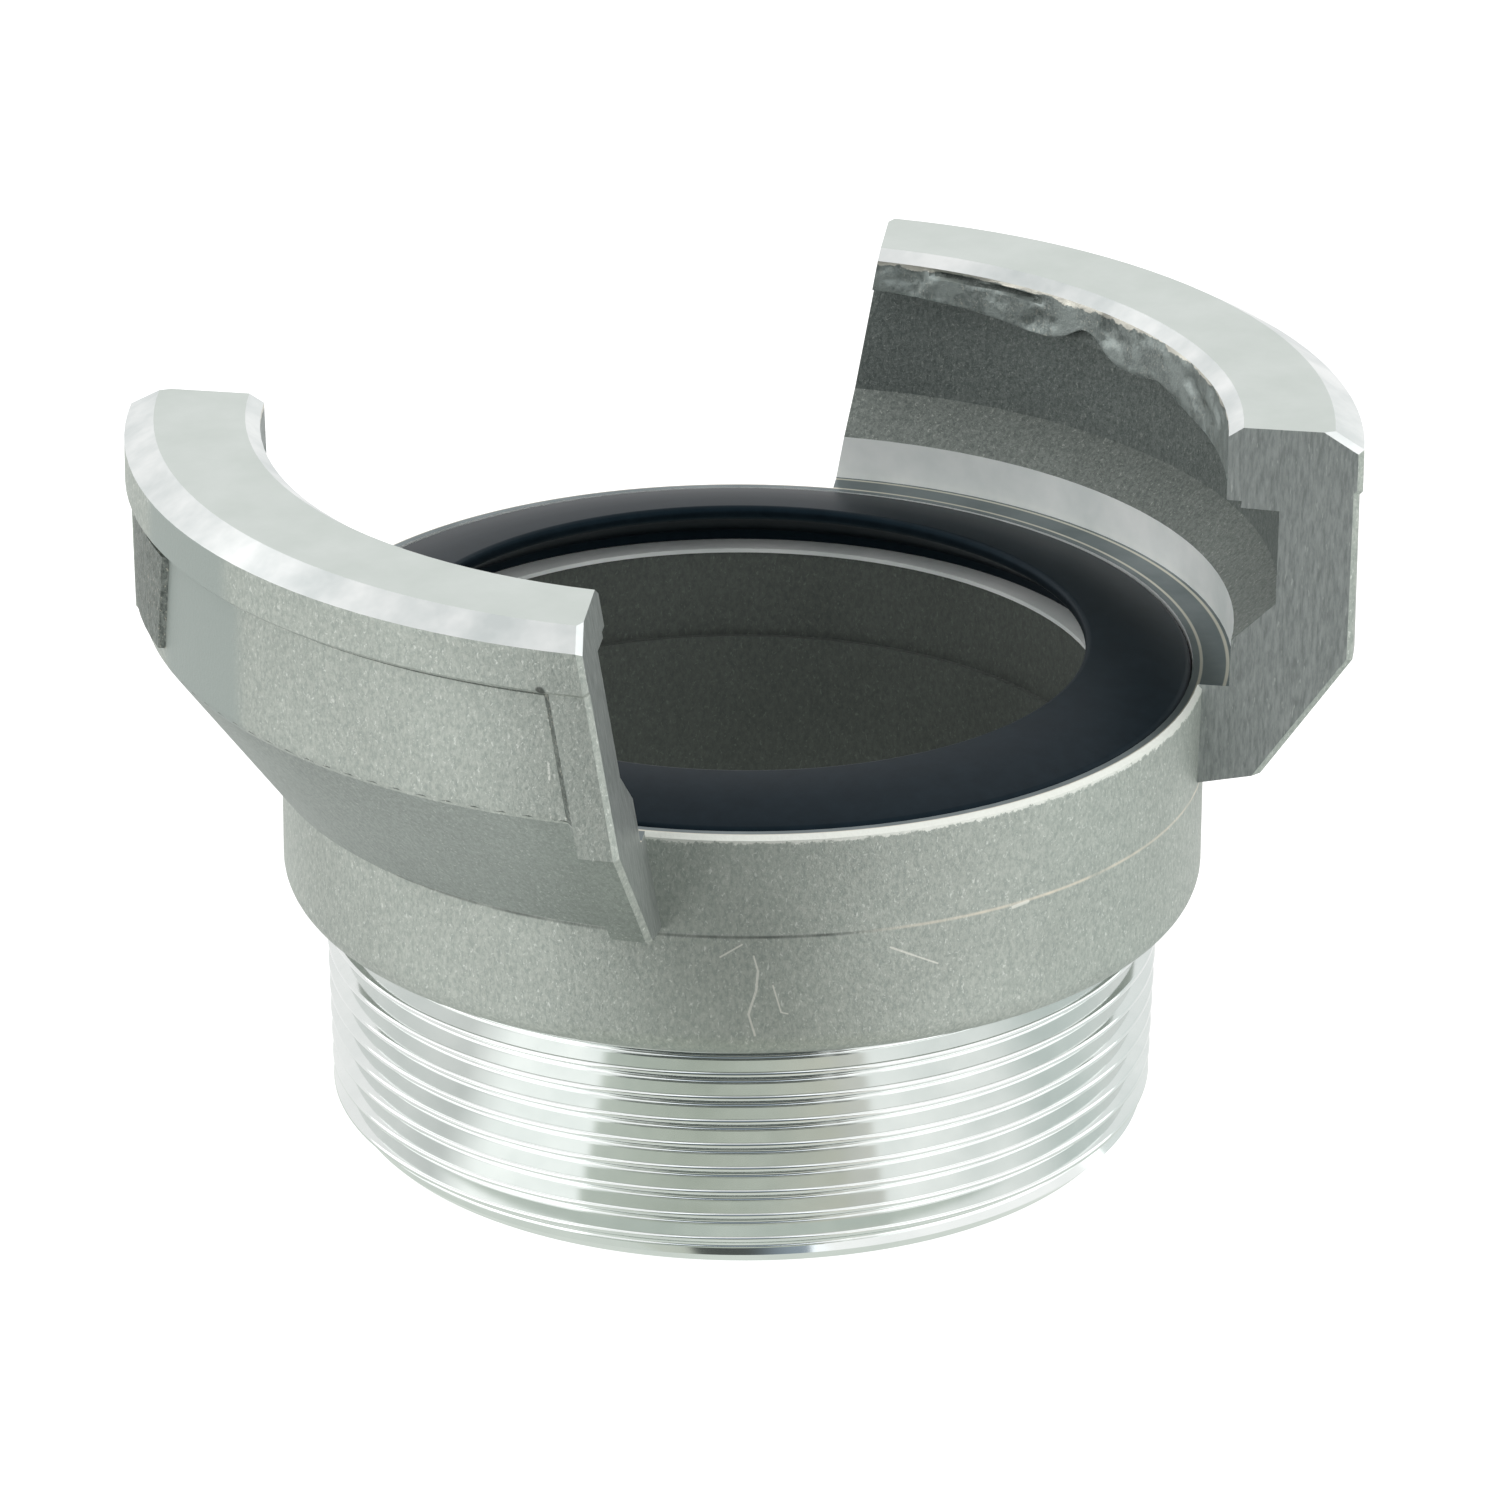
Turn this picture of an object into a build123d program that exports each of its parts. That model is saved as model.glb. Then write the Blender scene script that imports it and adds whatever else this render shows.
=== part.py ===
from build123d import *
from math import cos, hypot, radians, sin, tan
import os

os.makedirs("parts", exist_ok=True)

# Half of a symmetrical quarter turn hose coupling, in millimetres.
# The axis of the bore is Z. The thread ends at Z = 0 and the sealing face looks up.
# One claw is centred about +X, and the other is the same claw after half a turn.

# Male pipe thread, nominal 2 1/2 inch, tapered 1 in 16. It is modelled plain, at its crests.
thread_diameter = 75.184
thread_gauge_length = 17.5
thread_taper = 1 / 16
thread_length = 22.2
thread_end_chamfer = 2.2
thread_wall = 5.6

# Collar, and the cored bore through it
collar_length = 21.3
collar_edge_radius = 2.5
rim_wall = 1.15
rim_chamfer = 0.4
core_relief = 0.5
core_step_height = 31.8

# Seat of the seal, turned into the face of the collar
seat_depth = 3.0
seat_width = 7.95
seat_hole_relief = 0.3
seat_land = 0.4

# Seal ring
seal_gap = 0.1
seal_overhang = 1.7
seal_proud = 1.8
seal_crown = 0.3
seal_outer_drop = 0.1
seal_lip_radius = 0.35
seal_lip_thickness = 1.1
seal_groove_rise = 1.0
seal_foot_relief = 2.2

# Claws: the section that their end faces show
claw_rise = 23.1
claw_wall = 7.0
band_proud = 0.3
band_height = 5.5
tip_chamfer_width = 2.6
tip_chamfer_height = 1.5
wall_foot_rise = 2.9
shoulder_width = 5.5
shoulder_drop = 7.8
shoulder_fall = 1.2

# Claws: the hook on the inside, whose lip grows thicker towards one end
lip_clearance = 1.5
lip_depth = 4.7
lip_thickness = 5.6
lip_ramp_angle = 2.85
lip_chamfer_width = 1.3
lip_chamfer_height = 0.85
register_relief = 0.9
register_height = 4.1
undercut_slope_height = 3.5

# The lip was cast, then bored. The bore met the cast underside along a wavy edge:
# how far along the claw, and how far above the ramp, each point of that edge lies.
edge_depth = 1.4
edge_waves = [
    (-30.0, 0.6),
    (-21.0, 0.3),
    (-14.5, 0.2),
    (-9.9, 0.35),
    (-7.6, 0.75),
    (-6.0, 0.95),
    (-3.2, 0.45),
    (-0.6, 0.1),
    (2.2, 0.6),
    (3.9, 1.8),
    (5.4, 2.0),
    (7.2, 1.0),
    (9.4, 0.15),
    (14.3, 0.2),
    (20.0, 0.45),
    (30.0, 0.35),
]

# Claws: the two end faces, which lean so that the claw is wider at its foot
toe_angle = -45.0
toe_offset = 2.9
heel_angle = 47.0
heel_offset = 7.75
end_draft = 9.7
end_edge_break = 0.5

# Claws: the cast panel between two end ribs, and the pad left where the gate was cut off
toe_rib_width = 5.5
heel_rib_width = 3.5
panel_depth = 1.0
panel_foot = 1.05
panel_underside_angle = 37.0
panel_edge_break = 0.6
panel_foot_round = 1.5
gate_pad_width = 24.5
gate_pad_height = 9.2
gate_pad_drop = 6.5
gate_pad_proud = 0.6

# Radii and heights that follow
thread_radius = thread_diameter / 2
bore_radius = thread_radius - thread_wall
core_radius = bore_radius + core_relief
seat_hole_radius = bore_radius + seat_hole_relief
seat_radius = seat_hole_radius + seat_width
collar_radius = seat_radius + rim_wall
lip_radius = collar_radius + lip_clearance
register_radius = lip_radius + register_relief
undercut_radius = lip_radius + lip_depth
wall_radius = undercut_radius + claw_wall
band_radius = wall_radius + band_proud
shoulder_radius = collar_radius + shoulder_width

rim_z = thread_length + collar_length
seat_z = rim_z - seat_depth
tip_z = rim_z + claw_rise
band_z = tip_z - band_height
wall_foot_z = rim_z + wall_foot_rise
shoulder_z = rim_z - shoulder_drop
shoulder_root_z = shoulder_z - shoulder_fall
register_z = rim_z + register_height
undercut_z = register_z + undercut_slope_height
lip_z = tip_z - lip_thickness
root_radius = seat_radius + 0.5 * (rim_wall - rim_chamfer)
clear_radius = band_radius + 10


def crest_radius(z):
    """Radius over the thread's crests at a height."""
    return thread_radius + (z - thread_gauge_length) * thread_taper / 2


def radial_plane(angle):
    """Upright plane through the axis, with its x along the angle and its y up."""
    a = radians(angle)
    return Plane(origin=(0, 0, 0), x_dir=(cos(a), sin(a), 0), z_dir=(sin(a), -cos(a), 0))


def end_plane(angle, inward, offset, depth=0.0):
    """Leaning end face of a claw, depth inside its end. Its normal points into the claw."""
    a = radians(angle + inward)
    lean = radians(end_draft)
    normal = Vector(cos(a) * cos(lean), sin(a) * cos(lean), -sin(lean))
    start = Vector(cos(a) * offset, sin(a) * offset, tip_z)
    return Plane(origin=start + normal * depth, z_dir=normal)


def toe_plane(depth=0.0):
    return end_plane(toe_angle, 90, toe_offset, depth)


def heel_plane(depth=0.0):
    return end_plane(heel_angle, -90, heel_offset, depth)


def end_distance(edge, plane):
    """Furthest that an edge strays from an end face."""
    return max(abs(plane.to_local_coords(edge @ t).Z) for t in (0, 0.5, 1))


def outer_edge_radius(z):
    """Every edge on the outside of a claw lies beyond this radius at its height."""
    if z > wall_foot_z:
        return undercut_radius + 1
    return shoulder_radius - 3


# A claw's sections are turned through this sector, then cut to length by the end planes
sector_start = toe_angle - 25
sector_angle = heel_angle - toe_angle + 50
section_plane = radial_plane(sector_start)
crest_start = crest_radius(thread_end_chamfer)

# Seal ring, moulded rubber, with a low crown that stands proud of the rim
seal_outer_radius = seat_radius - seal_gap
seal_inner_radius = seat_hole_radius - seal_overhang
seal_foot_radius = seat_hole_radius + seal_foot_relief
seal_outer_z = rim_z - seal_outer_drop
seal_inner_z = rim_z + seal_proud
seal_middle = (
    (seal_outer_radius + seal_inner_radius) / 2,
    (seal_outer_z + seal_inner_z) / 2 + seal_crown,
)
with BuildPart() as seal_ring:
    with BuildSketch(Plane.XZ):
        with BuildLine():
            ThreePointArc(
                (seal_outer_radius, seal_outer_z),
                seal_middle,
                (seal_inner_radius + seal_lip_radius, seal_inner_z),
            )
            Polyline(
                (seal_inner_radius + seal_lip_radius, seal_inner_z),
                (seal_inner_radius, seal_inner_z - seal_lip_radius),
                (seal_inner_radius, seal_inner_z - seal_lip_thickness),
                (seal_foot_radius, seat_z + seal_groove_rise),
                (seal_foot_radius, seat_z),
                (seal_outer_radius, seat_z),
                (seal_outer_radius, seal_outer_z),
            )
        make_face()
    revolve(axis=Axis.Z)

# Space under a claw's lip: the register for the other half, a slope, and the undercut
with BuildPart() as undercut:
    with BuildSketch(section_plane):
        with BuildLine():
            Polyline(
                (lip_radius - 2, rim_z),
                (register_radius, rim_z),
                (register_radius, register_z),
                (undercut_radius, undercut_z),
                (undercut_radius, tip_z + 5),
                (lip_radius - 2, tip_z + 5),
                close=True,
            )
        make_face()
    revolve(axis=Axis.Z, revolution_arc=sector_angle)
    ramp = Plane(
        origin=(undercut_radius, 0, lip_z),
        z_dir=(0, sin(radians(lip_ramp_angle)), -cos(radians(lip_ramp_angle))),
    )
    split(bisect_by=ramp, keep=Keep.TOP)

# Cutter for the wavy lower edge of the lip
ramp_rise = tan(radians(lip_ramp_angle))
wave_points = [(y, lip_z + y * ramp_rise + rise) for y, rise in edge_waves]
with BuildPart() as lip_edge:
    with BuildSketch(Plane.YZ):
        with BuildLine():
            wave = Spline(*wave_points)
            Polyline(
                wave @ 1,
                (wave_points[-1][0], undercut_z),
                (wave_points[0][0], undercut_z),
                wave @ 0,
            )
        make_face()
    extrude(amount=clear_radius)
    Cylinder(
        radius=lip_radius + edge_depth,
        height=tip_z,
        align=(Align.CENTER, Align.CENTER, Align.MIN),
        mode=Mode.INTERSECT,
    )

# Cutter for the panel between the end ribs, with broken corners and a round foot
panel_radius = wall_radius - panel_depth
panel_foot_radius = collar_radius + panel_foot
panel_slope_height = (panel_radius - panel_foot_radius) / tan(radians(panel_underside_angle))
panel_slope_top_z = shoulder_root_z + panel_slope_height
below_root_z = shoulder_root_z - 5
below_radius = panel_foot_radius - 5 * tan(radians(panel_underside_angle))
with BuildPart() as panel:
    with BuildSketch(section_plane):
        with BuildLine():
            Polyline(
                (panel_radius, band_z),
                (clear_radius, band_z),
                (clear_radius, below_root_z),
                (below_radius, below_root_z),
                (panel_radius, panel_slope_top_z),
                close=True,
            )
        make_face()
    revolve(axis=Axis.Z, revolution_arc=sector_angle)
    split(bisect_by=toe_plane(toe_rib_width), keep=Keep.TOP)
    split(bisect_by=heel_plane(heel_rib_width), keep=Keep.TOP)
    foot_edge = panel.edges().filter_by(
        lambda edge: abs((edge @ 0.5).Z - panel_slope_top_z) < 0.01
        and hypot((edge @ 0.5).X, (edge @ 0.5).Y) < wall_radius
    )
    fillet(foot_edge, radius=panel_foot_round)
    inner_edges = panel.edges().filter_by(
        lambda edge: hypot((edge @ 0.5).X, (edge @ 0.5).Y) < wall_radius
        and (edge @ 0.5).Z > below_root_z + 0.1
        and not (edge.geom_type == GeomType.CIRCLE and (edge @ 0.5).Z < band_z - 1)
    )
    chamfer(inner_edges, length=panel_edge_break)

# Pad left on the panel where the casting's gate was cut off, beside the toe
with BuildPart() as gate_pad:
    with BuildSketch(section_plane):
        with BuildLine():
            Polyline(
                (panel_radius - 1, tip_z - gate_pad_drop),
                (panel_radius + gate_pad_proud, tip_z - gate_pad_drop),
                (panel_radius + gate_pad_proud, tip_z - gate_pad_drop - gate_pad_height),
                (panel_radius - 1, tip_z - gate_pad_drop - gate_pad_height),
                close=True,
            )
        make_face()
    revolve(axis=Axis.Z, revolution_arc=sector_angle)
    split(bisect_by=toe_plane(toe_rib_width - 1), keep=Keep.TOP)
    split(bisect_by=toe_plane(gate_pad_width), keep=Keep.BOTTOM)

# One claw: its section turned through a sector, hollowed, and cut off by the end planes
with BuildPart() as claw:
    with BuildSketch(section_plane):
        with BuildLine():
            Polyline(
                (root_radius, shoulder_root_z),
                (shoulder_radius, shoulder_z),
                (wall_radius, wall_foot_z),
                (wall_radius, band_z),
                (band_radius, band_z + band_proud),
                (band_radius, tip_z - tip_chamfer_height),
                (band_radius - tip_chamfer_width, tip_z),
                (lip_radius + lip_chamfer_width, tip_z),
                (lip_radius, tip_z - lip_chamfer_height),
                (lip_radius, rim_z),
                (root_radius, rim_z),
                close=True,
            )
        make_face()
    revolve(axis=Axis.Z, revolution_arc=sector_angle)
    add(undercut.part, mode=Mode.SUBTRACT)
    add(lip_edge.part, mode=Mode.SUBTRACT)
    add(panel.part, mode=Mode.SUBTRACT)
    add(gate_pad.part)
    split(bisect_by=toe_plane(), keep=Keep.TOP)
    split(bisect_by=heel_plane(), keep=Keep.TOP)
    outer_end_edges = claw.edges().filter_by(
        lambda edge: min(end_distance(edge, toe_plane()), end_distance(edge, heel_plane())) < 0.01
        and (edge @ 0.5).Z > shoulder_root_z
        and hypot((edge @ 0.5).X, (edge @ 0.5).Y) > outer_edge_radius((edge @ 0.5).Z)
    )
    chamfer(outer_end_edges, length=end_edge_break)

# Body: the turned collar, thread end and bore, with both claws cast on
with BuildPart() as coupling_body:
    with BuildSketch(Plane.XZ):
        with BuildLine():
            Polyline(
                (bore_radius, 0),
                (crest_start - thread_end_chamfer, 0),
                (crest_start, thread_end_chamfer),
                (crest_radius(thread_length), thread_length),
                (collar_radius, thread_length),
                (collar_radius, rim_z - rim_chamfer),
                (collar_radius - rim_chamfer, rim_z),
                (seat_radius, rim_z),
                (seat_radius, seat_z),
                (seat_hole_radius, seat_z),
                (seat_hole_radius, seat_z - seat_land),
                (core_radius, seat_z - seat_land),
                (core_radius, core_step_height),
                (bore_radius, core_step_height),
                close=True,
            )
        make_face()
    revolve(axis=Axis.Z)
    ledge = collar_radius - crest_radius(thread_length)
    collar_edge = coupling_body.edges().filter_by(
        lambda edge: abs((edge @ 0).Z - thread_length) < 0.01
        and abs(hypot((edge @ 0).X, (edge @ 0).Y) - collar_radius) < 0.01
    )
    fillet(collar_edge, radius=min(collar_edge_radius, 0.8 * ledge))
    add(claw.part)
    add(claw.part.rotate(Axis.Z, 180))

seal_ring.part.label = "seal_ring"
coupling_body.part.label = "coupling_body"
export_step(seal_ring.part, "parts/seal_ring.step")
export_step(coupling_body.part, "parts/coupling_body.step")

print("seal ring solids", len(seal_ring.part.solids()), "volume", round(seal_ring.part.volume))
print("body solids", len(coupling_body.part.solids()), "volume", round(coupling_body.part.volume))
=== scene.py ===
# %% [markdown]
# # Half of a quarter turn hose coupling
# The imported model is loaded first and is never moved. It gives the sizes that every
# new piece has to keep, and the script prints what it finds as it goes.

# %% Load the frame
import bmesh
import bpy
from math import atan2, cos, degrees, hypot, pi, radians, sin
from mathutils import Matrix, Vector, noise


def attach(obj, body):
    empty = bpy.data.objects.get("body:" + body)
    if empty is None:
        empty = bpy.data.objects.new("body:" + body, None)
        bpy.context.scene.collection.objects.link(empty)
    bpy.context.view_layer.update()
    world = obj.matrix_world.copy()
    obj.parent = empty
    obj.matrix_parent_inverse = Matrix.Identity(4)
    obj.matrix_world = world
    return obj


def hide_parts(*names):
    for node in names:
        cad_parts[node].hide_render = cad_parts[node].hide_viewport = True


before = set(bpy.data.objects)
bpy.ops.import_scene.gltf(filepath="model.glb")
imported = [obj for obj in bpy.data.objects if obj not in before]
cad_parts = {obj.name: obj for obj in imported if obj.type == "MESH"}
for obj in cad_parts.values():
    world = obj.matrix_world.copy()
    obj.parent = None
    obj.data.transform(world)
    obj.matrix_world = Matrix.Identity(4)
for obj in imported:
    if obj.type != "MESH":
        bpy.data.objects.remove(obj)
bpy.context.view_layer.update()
MM = 0.001

# %% [markdown]
# The camera is set before anything is made, so that each piece can be looked at from
# the photograph's side as soon as it exists. A long lens from most of a metre away keeps
# the ellipses of the rims flat, as they are in a catalogue picture.

# %% Camera
CAMERA_PLACE = Vector((-0.4514, -0.6078, 0.35699))
VIEW_AZIMUTH = radians(53.35)
VIEW_DROP = radians(23.11)
VIEW_ROLL = 0.006
LENS_MM = 219.55
SENSOR_MM = 36


def make_camera():
    """A camera that looks down on the coupling, with a touch of roll."""
    forward = Vector((
        cos(VIEW_AZIMUTH) * cos(VIEW_DROP),
        sin(VIEW_AZIMUTH) * cos(VIEW_DROP),
        -sin(VIEW_DROP),
    ))
    right = Vector((sin(VIEW_AZIMUTH), -cos(VIEW_AZIMUTH), 0))
    up = right.cross(forward)
    right_rolled = right * cos(VIEW_ROLL) + up * sin(VIEW_ROLL)
    up_rolled = up * cos(VIEW_ROLL) - right * sin(VIEW_ROLL)
    data = bpy.data.cameras.new("camera")
    data.lens = LENS_MM
    data.sensor_width = SENSOR_MM
    data.clip_start = 0.01
    data.dof.use_dof = False
    camera = bpy.data.objects.new("camera", data)
    turn = Matrix((right_rolled, up_rolled, -forward)).transposed()
    camera.matrix_world = Matrix.Translation(CAMERA_PLACE) @ turn.to_4x4()
    bpy.context.scene.collection.objects.link(camera)
    bpy.context.scene.camera = camera
    return camera


camera = make_camera()
bpy.context.scene.view_settings.view_transform = "Standard"
print("camera at", [round(v, 3) for v in camera.location])

# %% [markdown]
# Colours are read off a calibrated screen as sRGB hex values, while the shader works in
# linear light, so one function turns them over. Another adds a shader node with its
# settings and links, which keeps each material below short enough to read.

# %% Colour and node helpers


def linear(hex_colour):
    """An sRGB colour such as "9aa39d" as linear RGBA."""
    channels = [int(hex_colour[i:i + 2], 16) / 255 for i in (0, 2, 4)]
    lit = [c / 12.92 if c <= 0.04045 else ((c + 0.055) / 1.055) ** 2.4 for c in channels]
    return (*lit, 1.0)


def node(tree, kind, inputs=None, stops=(), **settings):
    """Adds a shader node. An input is a value, a hex colour, a socket or another node.

    Another node stands for its first output that is in use. The stops fill a colour ramp.
    """
    made = tree.nodes.new("ShaderNode" + kind)
    for key, value in settings.items():
        setattr(made, key, value)
    for key, value in (inputs or {}).items():
        socket = made.inputs[key]
        if isinstance(value, bpy.types.Node):
            value = next(output for output in value.outputs if output.enabled)
        if isinstance(value, bpy.types.NodeSocket):
            tree.links.new(value, socket)
        else:
            socket.default_value = linear(value) if isinstance(value, str) else value
    if stops:
        elements = made.color_ramp.elements
        while len(elements) < len(stops):
            elements.new(0.5)
        for element, (place, colour) in zip(elements, stops):
            element.position = place
            if isinstance(colour, str):
                element.color = linear(colour)
            elif isinstance(colour, tuple):
                element.color = (*colour, 1)
            else:
                element.color = (colour, colour, colour, 1)
    return made


# Millimetres in a metre, by which the patterns of the materials are scaled
PER_METRE = 1000


def new_material(name):
    """An empty material with its node tree, and the place on the object in millimetres."""
    made = bpy.data.materials.new(name)
    made.use_nodes = True
    tree = made.node_tree
    tree.nodes.clear()
    place = node(tree, "TexCoord").outputs["Object"]
    return made, tree, node(tree, "Mapping", {"Vector": place, "Scale": (PER_METRE,) * 3})


def finish_material(tree, shader):
    """Links the shader to the output, and prints how many nodes the material took."""
    node(tree, "OutputMaterial", {"Surface": shader})
    print("  nodes", len(tree.nodes))


# %% [markdown]
# ## The cast skin
# The body is a gravity die casting in aluminium, shot blasted after it was fettled. That
# leaves a matte grey skin of tiny overlapping dents, each a few tenths of a millimetre
# wide, some of them catching the light. Noise in real millimetres gives the grain, and a
# mask for each place gives the burr at the rim, the smooth strip and the old scratches.

# %% Masks on a material
# Dents of the blasted skin in each millimetre, and the camera's azimuth seen from the axis
GRAIN_PER_MM = 2.7
CAMERA_SIDE = 233.35


def mask(tree, *steps):
    """Where every value is past its own soft step.

    A step is a value, where it starts, where it is full, and perhaps its strength.
    """
    made = None
    for value, start, full, *strength in steps:
        top = strength[0] if strength else 1.0
        limits = {"Value": value, "From Min": start, "From Max": full, "To Max": top}
        step = node(tree, "MapRange", limits, interpolation_type="SMOOTHSTEP")
        made = node(tree, "Math", {0: made, 1: step}, operation="MULTIPLY") if made else step
    return made


def layered(tree, colour, *layers):
    """Lays colours over one another, each where its own mask is."""
    for where, over in layers:
        colour = node(tree, "Mix", {0: where, 6: colour, 7: over}, data_type="RGBA")
    return colour


def around(tree, place):
    """Radius, turn from the front in degrees, and height."""
    height = node(tree, "SeparateXYZ", {"Vector": place}).outputs["Z"]
    spun = node(
        tree, "VectorRotate", {"Vector": place, "Angle": radians(-CAMERA_SIDE)},
        rotation_type="Z_AXIS")
    level = node(tree, "VectorMath", {0: spun, 1: (1, 1, 0)}, operation="MULTIPLY")
    ways = node(tree, "SeparateXYZ", {"Vector": level})
    angle = node(tree, "Math", {0: ways.outputs["Y"], 1: ways.outputs["X"]}, operation="ARCTAN2")
    turn = node(tree, "Math", {0: angle}, operation="DEGREES")
    return node(tree, "VectorMath", {0: level}, operation="LENGTH"), turn, height


def scratch(tree, flat, start, end, width):
    """A straight scratch between two places, given as millimetres round and up."""
    along = Vector((end[0] - start[0], end[1] - start[1], 0))
    offset = node(tree, "VectorMath", {0: flat, 1: (*start, 0)}, operation="SUBTRACT")
    whole = tuple(along / along.length_squared)
    share = node(tree, "VectorMath", {0: offset, 1: whole}, operation="DOT_PRODUCT")
    held = node(tree, "Clamp", {"Value": share})
    nearest = node(tree, "VectorMath", {0: tuple(along), "Scale": held}, operation="SCALE")
    away = node(tree, "VectorMath", {0: offset, 1: nearest}, operation="DISTANCE")
    return mask(tree, (away, width, 0.3 * width))


def scratches(tree, flat, lines):
    """Every scratch of a list in one mask."""
    found = [scratch(tree, flat, *line) for line in lines]
    for one in found[1:]:
        found[0] = node(tree, "Math", {0: found[0], 1: one}, operation="MAXIMUM")
    return found[0]


# %% Marks on the skin
# A mark is its start, its end and its half width. Starts and ends are millimetres round the
# collar from the front, and millimetres up.
COLLAR_MARKS = [
    ((1.08, 32.3), (1.45, 30.9), 0.12),
    ((1.45, 30.9), (1.3, 29.0), 0.17),
    ((1.3, 29.0), (0.65, 26.8), 0.17),
    ((0.65, 26.8), (1.23, 24.8), 0.15),
    ((-1.8, 32.2), (0.07, 33.4), 0.12),
    ((2.75, 29.5), (3.47, 26.95), 0.11),
    ((3.47, 26.95), (4.05, 26.8), 0.1),
    ((13.1, 32.3), (15.1, 31.3), 0.14),
    ((15.1, 31.3), (17.5, 30.1), 0.11),
    ((25.0, 33.8), (26.6, 33.95), 0.25),
]
CLAW_RUBS = [
    ((-32.4, 45.8), (-27.5, 45.2), 0.16),
    ((-27.5, 45.2), (-22.5, 44.6), 0.22),
    ((-12.8, 54.6), (-12.7, 52.9), 0.12),
    ((-12.7, 50.2), (-12.6, 49.3), 0.1),
]
# The pit's dark spot is painted shade; the hollow itself is not modelled.
HEEL_PIT_SHADE = [((-13.0, 61.5), (-12.95, 61.4), 0.45)]
MARK_RADIUS = 41.392

# %% Grain of a casting


def grain_bump(tree, place, per_mm, depth_mm, strength):
    """Small dents in the surface, by a noise with so many dents in each millimetre."""
    grain = node(tree, "TexNoise", {
        "Vector": place, "Scale": per_mm, "Detail": 3.0, "Roughness": 0.65})
    return node(tree, "Bump", {"Height": grain, "Distance": depth_mm * MM, "Strength": strength})


def sandy(tree, place, dark, light, fleck):
    """Grain between two greys, slow change of tone, and pale flecks."""
    upright = node(tree, "Mapping", {"Vector": place, "Scale": (1.0, 1.0, 0.62)})
    grain = node(tree, "TexNoise", {
        "Vector": upright, "Scale": GRAIN_PER_MM, "Detail": 4.0, "Roughness": 0.72,
        "Distortion": 0.5})
    tone = node(tree, "ValToRGB", {"Fac": grain}, stops=[(0.38, dark), (0.62, light)])
    drift = node(tree, "TexNoise", {"Vector": place, "Scale": 0.07, "Detail": 3.0})
    slow = node(tree, "ValToRGB", {"Fac": drift}, stops=[(0.3, 0.86), (0.7, 1.0)])
    tone = node(tree, "Mix", {0: 1.0, 6: tone, 7: slow}, data_type="RGBA", blend_type="MULTIPLY")
    sparkle = node(tree, "TexNoise", {
        "Vector": upright, "Scale": 1.5 * GRAIN_PER_MM, "Detail": 2.0, "Roughness": 0.6,
        "Distortion": 0.8})
    return layered(tree, tone, (mask(tree, (sparkle, 0.60, 0.70, 0.55)), fleck))


def cast_material(name, dark, light, fleck, depth, roughness, metallic=0.75):
    """A plain cast surface: grey grain with flecks, over dents of a depth in millimetres."""
    made, tree, place = new_material(name)
    shader = node(tree, "BsdfPrincipled", {
        "Base Color": sandy(tree, place, dark, light, fleck), "Metallic": metallic,
        "Roughness": roughness, "Normal": grain_bump(tree, place, GRAIN_PER_MM, depth, 0.6)})
    finish_material(tree, shader)
    return made


# %% Outside skin


def cast_skin_material():
    """The outside skin, with the rim's burr, the mould's seam drawn as painted shadow and painted
    highlight, a smooth strip, marks, and a pit in painted shade.
    """
    made, tree, place = new_material("shot_blasted_cast_aluminium")
    radius, turn, height = around(tree, place)
    arc = node(tree, "Math", {0: turn, 1: MARK_RADIUS * pi / 180}, operation="MULTIPLY")
    flat = node(tree, "CombineXYZ", {"X": arc, "Y": height})
    patchy = node(tree, "TexNoise", {"Vector": place, "Scale": 0.3, "Detail": 2.0})
    ragged = node(tree, "TexNoise", {
        "Vector": place, "Scale": 1.6, "Detail": 4.0, "Roughness": 0.7})
    frayed = node(tree, "Math", {0: ragged, 1: -1.3, 2: height}, operation="MULTIPLY_ADD")
    on_collar = (radius, 42.2, 41.6)
    on_claw = (radius, 46.0, 47.0)
    rubs = (scratches(tree, flat, CLAW_RUBS), 0.0, 1.0, 0.75)
    on_seam = ((height, 33.85, 34.05), (height, 34.3, 34.1), on_collar)
    on_strip = ((turn, -71.5, -68.5), (turn, -52.5, -55.5), (radius, 50.0, 52.0))
    colour = layered(
        tree, sandy(tree, place, "a6aea7", "bfc5bd", "e2e6e0"),
        (mask(tree, *on_strip), "a1aaa5"),
        # The seam is colour only: a painted shadow under its step on the left, and a painted
        # highlight along it on the right.
        (mask(tree, *on_seam, (turn, 20.0, 10.0), (patchy, 0.0, 1.0)), "4c524e"),
        (mask(tree, *on_seam, (turn, 12.0, 22.0), (patchy, 0.0, 1.0)), "e6ddcc"),
        (mask(tree, (scratches(tree, flat, COLLAR_MARKS), 0.0, 1.0, 0.6), on_collar), "f2f1e8"),
        (mask(tree, rubs, on_claw, (ragged, 0.42, 0.55)), "e9ebe4"),
        # Painted shade of the heel's pit.
        (mask(tree, (scratches(tree, flat, HEEL_PIT_SHADE), 0.0, 1.0, 0.8), on_claw), "3a3e3a"),
        (mask(tree, (frayed, 42.10, 42.30, 0.85), on_collar), "eff1ea"),
    )
    shader = node(tree, "BsdfPrincipled", {
        "Base Color": colour, "Metallic": 0.75, "Roughness": 0.55,
        "Normal": grain_bump(tree, place, GRAIN_PER_MM, 0.10, 0.6)})
    finish_material(tree, shader)
    return made


# %% Torn lip
# Height over which the lip's upper edge is frayed bright, before the noise is added. The bright
# fringe is partly burr and partly a painted highlight along the chamfer.
LIP_BURR_AND_HIGHLIGHT_Z = 66.1


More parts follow.
